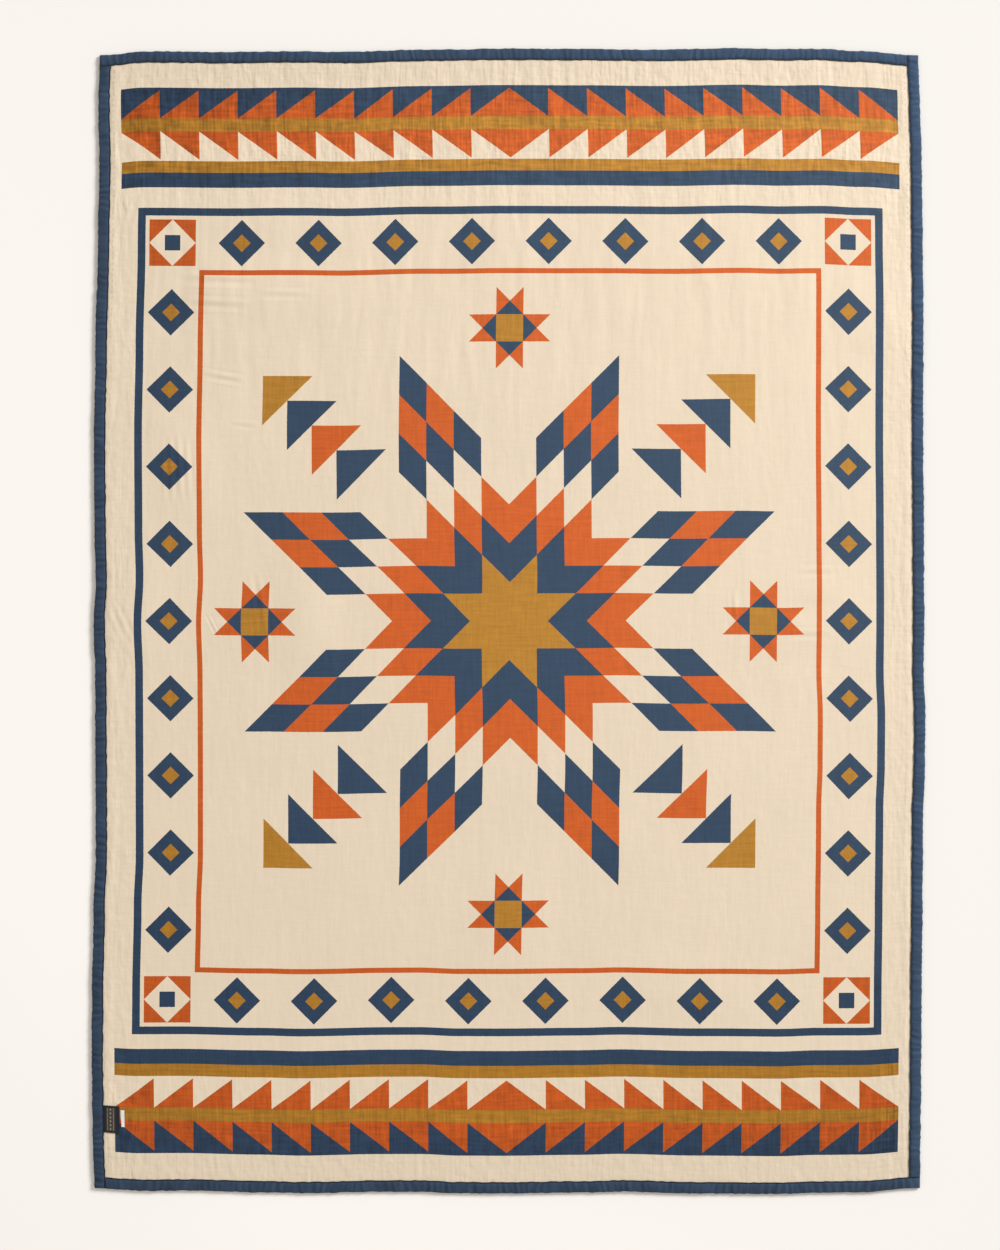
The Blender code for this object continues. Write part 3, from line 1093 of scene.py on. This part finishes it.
def binding_gauze():
    """Navy gauze, creased across the strip where the stitching draws it in, with painted shade in its creases
    and along its stitched inner edge, and painted light towards the window.
    """
    material, tree, shader = cloth_finish("binding_gauze", 0.90, 0.15)
    across, along = flat_place(tree)
    drift = speckle(along, across, 0.050, 0.030, detail=0.0, seed=9.0) * 0.006
    wrinkles = speckle(along + drift, across, 0.0065, 0.060, detail=1.5, seed=1.0)
    rhythm = (speckle(along, across, 0.040, 0.050, detail=1.0, seed=7.0) * 2.0 + 0.7).clamped()
    puckers = (along + drift * 1.5).wave(0.0108) * rhythm
    threads = speckle(along, across, 0.030, 0.0012, detail=2.0, seed=2.0)
    grain = speckle(along, across, 0.0014, 0.0014, detail=2.0, seed=3.0)
    patches = speckle(along, across, 0.025, 0.030, detail=1.0, seed=4.0)
    # at_edge is painted shade: a dark line along the strip's inner edge, where it lies over the cloth.
    at_edge = (1.1 - across / 0.0024).clamped() * (1.0 + wrinkles)
    x, y = own_place(tree)
    # Painted light: the navy is lighter towards the window, and the right strip a step lighter still.
    towards_window = x * 0.15 + y * 0.10 + x * y * 0.11 + x.over(0.62) * 0.15
    # The puckers and wrinkles also shade the colour: painted light on their crests, painted shade in their
    # valleys.
    tone = towards_window + puckers * 0.13 + wrinkles * 0.36 + threads * 0.13
    tone = tone + grain * 0.22 + patches * 0.28 + 0.96
    tone = tone * (1.0 - at_edge * 0.80)
    base = tree.nodes.new("ShaderNodeRGB")
    base.outputs[0].default_value = (*BINDING_NAVY, 1.0)
    tree.links.new(shaded(tree, base.outputs[0], tone), shader.inputs["Base Color"])
    weave = along.wave(0.0011) * across.wave(0.0011) * 0.00003
    height = puckers * 0.00022 + wrinkles * 0.00105 + threads * 0.00003 + weave
    raised(tree, shader, height, 0.8)
    return material


def thread(name, colour):
    """Sewing thread, twisted along its length."""
    material, tree, shader = cloth_finish(name, 0.70, 0.10)
    x, y = own_place(tree)
    tone = 1.0 + speckle(x, y, 0.0009, 0.0009, seed=4.0) * 0.25
    base = tree.nodes.new("ShaderNodeRGB")
    base.outputs[0].default_value = (*colour, 1.0)
    tree.links.new(shaded(tree, base.outputs[0], tone), shader.inputs["Base Color"])
    raised(tree, shader, (x + y).wave(0.0005) * 0.00003, 0.6)
    return material


def label_satin():
    """Dark woven satin with a brown middle and a woven row of small diamonds, and no lettering."""
    material, tree, shader = cloth_finish("label_satin", 0.48, 0.05)
    across, along = flat_place(tree)
    ribs = across.wave(0.00045)
    slubs = speckle(across, along, 0.0006, 0.006, seed=5.0)
    from_middle = (across - LABEL_MIDDLE_IN).size()
    ground = along.size().below(LABEL_WIDTH / 2 - 0.0032) * from_middle.below(0.0072)
    worn = (speckle(across, along, 0.0012, 0.0040, seed=6.0) * 0.9 + 0.75).clamped()
    to_diamond = ((along / 0.0060).part() - 0.5).size() * 0.0060
    diamonds = (to_diamond + from_middle * 1.3).below(0.0022)
    rails = (from_middle - 0.0046).size().below(0.00045)
    line = ground * diamonds.most(rails) * worn
    base = dyed(tree, LABEL_BLACK, LABEL_GROUND, ground * worn)
    base = dyed(tree, base, LABEL_THREAD, line)
    tree.links.new(shaded(tree, base, 1.0 + ribs * 0.10 + slubs * 0.18), shader.inputs["Base Color"])
    raised(tree, shader, ribs * 0.00002 + slubs * 0.00002 + line * 0.00006, 0.8)
    return material


def tag_satin():
    """Bare white satin tape."""
    material, tree, shader = cloth_finish("tag_satin", 0.42, 0.05)
    across, along = flat_place(tree)
    ribs = along.wave(0.0005)
    slubs = speckle(across, along, 0.006, 0.0008, seed=8.0)
    base = tree.nodes.new("ShaderNodeRGB")
    base.outputs[0].default_value = (*TAG_WHITE, 1.0)
    tone = 1.0 + ribs * 0.02 + slubs * 0.03
    tree.links.new(shaded(tree, base.outputs[0], tone), shader.inputs["Base Color"])
    raised(tree, shader, ribs * 0.00001 + slubs * 0.00002, 0.6)
    return material


# The scene round the blanket

PHOTO_HEIGHT_M = 1.9325
CAMERA_LENS = 85.0
SENSOR = 36.0
VIEW_MIDDLE_X = -0.0131
VIEW_MIDDLE_Y = -0.0061
FLOOR_SIZE = 60.0
FLOOR_COLOUR = (0.905, 0.885, 0.866)
# FLOOR_FALL, FLOOR_LIGHTEST and FLOOR_DARKEST set the floor's painted shade and light
FLOOR_FALL = 0.139
FLOOR_LIGHTEST = 1.11
FLOOR_DARKEST = 0.80
FLOOR_BELOW = 0.0002
SURROUND = 0.56
WINDOW_AWAY = 9.0
WINDOW_SIZE = 2.6
WINDOW_TURN = 35.0
WINDOW_RISE = 29.0
WINDOW_WATTS = 873.0


def pale_floor():
    """A pale floor just under the blanket, its colour painted darker towards the window and lighter away from
    it.
    """
    bpy.ops.object.select_all(action="DESELECT")
    bpy.ops.mesh.primitive_plane_add(size=FLOOR_SIZE, location=(0, 0, -FLOOR_BELOW))
    floor = bpy.context.object
    floor.name = "floor"
    material = bpy.data.materials.new("pale_paper")
    material.use_nodes = True
    tree = material.node_tree
    shader = tree.nodes["Principled BSDF"]
    shader.inputs["Roughness"].default_value = 0.95
    shader.inputs["Specular IOR Level"].default_value = 0.1
    x, y = own_place(tree)
    turn = math.radians(WINDOW_TURN)
    # Painted shade towards the window and painted light away from it, which even out the window's fall-off
    # over the floor.
    towards_window = x * math.cos(turn) + y * math.sin(turn)
    tone = (1.0 - towards_window * FLOOR_FALL).least(FLOOR_LIGHTEST).most(FLOOR_DARKEST)
    base = tree.nodes.new("ShaderNodeRGB")
    base.outputs[0].default_value = (*FLOOR_COLOUR, 1.0)
    tree.links.new(shaded(tree, base.outputs[0], tone), shader.inputs["Base Color"])
    floor.data.materials.append(material)


def window_light():
    """A large far window, low on the upper right."""
    turn = math.radians(WINDOW_TURN)
    rise = math.radians(WINDOW_RISE)
    lamp = bpy.data.lights.new("window", "AREA")
    lamp.shape = "SQUARE"
    lamp.size = WINDOW_SIZE
    lamp.energy = WINDOW_WATTS
    lamp.color = (0.985, 0.985, 0.985)
    window = bpy.data.objects.new("window", lamp)
    bpy.context.scene.collection.objects.link(window)
    window.location = (
        WINDOW_AWAY * math.cos(rise) * math.cos(turn),
        WINDOW_AWAY * math.cos(rise) * math.sin(turn),
        WINDOW_AWAY * math.sin(rise),
    )
    window.rotation_euler = (math.pi / 2 - rise, 0, turn + math.pi / 2)


def studio():
    """Soft light from the upper right, an even pale surround, and the camera straight above."""
    world = bpy.data.worlds.new("studio")
    bpy.context.scene.world = world
    world.use_nodes = True
    background = world.node_tree.nodes["Background"]
    background.inputs["Color"].default_value = (1.0, 0.955, 0.880, 1.0)
    background.inputs["Strength"].default_value = SURROUND
    window_light()
    camera = bpy.data.cameras.new("camera")
    camera.lens = CAMERA_LENS
    camera.sensor_width = SENSOR
    holder = bpy.data.objects.new("camera", camera)
    bpy.context.scene.collection.objects.link(holder)
    distance = PHOTO_HEIGHT_M * CAMERA_LENS / SENSOR
    holder.location = (VIEW_MIDDLE_X - MIDDLE_X, VIEW_MIDDLE_Y - MIDDLE_Y, distance)
    bpy.context.scene.camera = holder
    bpy.context.scene.view_settings.view_transform = "Standard"


def dress():
    """Makes every piece of the blanket and hides the solids that it stands in for."""
    navy = binding_gauze()
    cloth = gauze_cloth(printed_gauze(), plain_gauze())
    strips = binding((navy, navy))
    seams = [strip_seam(side, number) for number, side in enumerate(SIDES)]
    stitches = stitched("binding_stitches", one_stitch(), seams, thread("navy_thread", THREAD_NAVY))
    label = looped_label(label_satin())
    tag = hanging_tag(tag_satin())
    flat_pieces = ((cloth, "gauze", "cloth"), (label, "label", "label"), (tag, "care_tag", "care_tag"))
    for piece, slot, node in flat_pieces:
        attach(piece, "root")
        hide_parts(node)
    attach(stitches, "root")
    for strip, (half, inner, on_cloth) in zip(strips, SIDES.values()):
        half + inner


pale_floor()
studio()
dress()
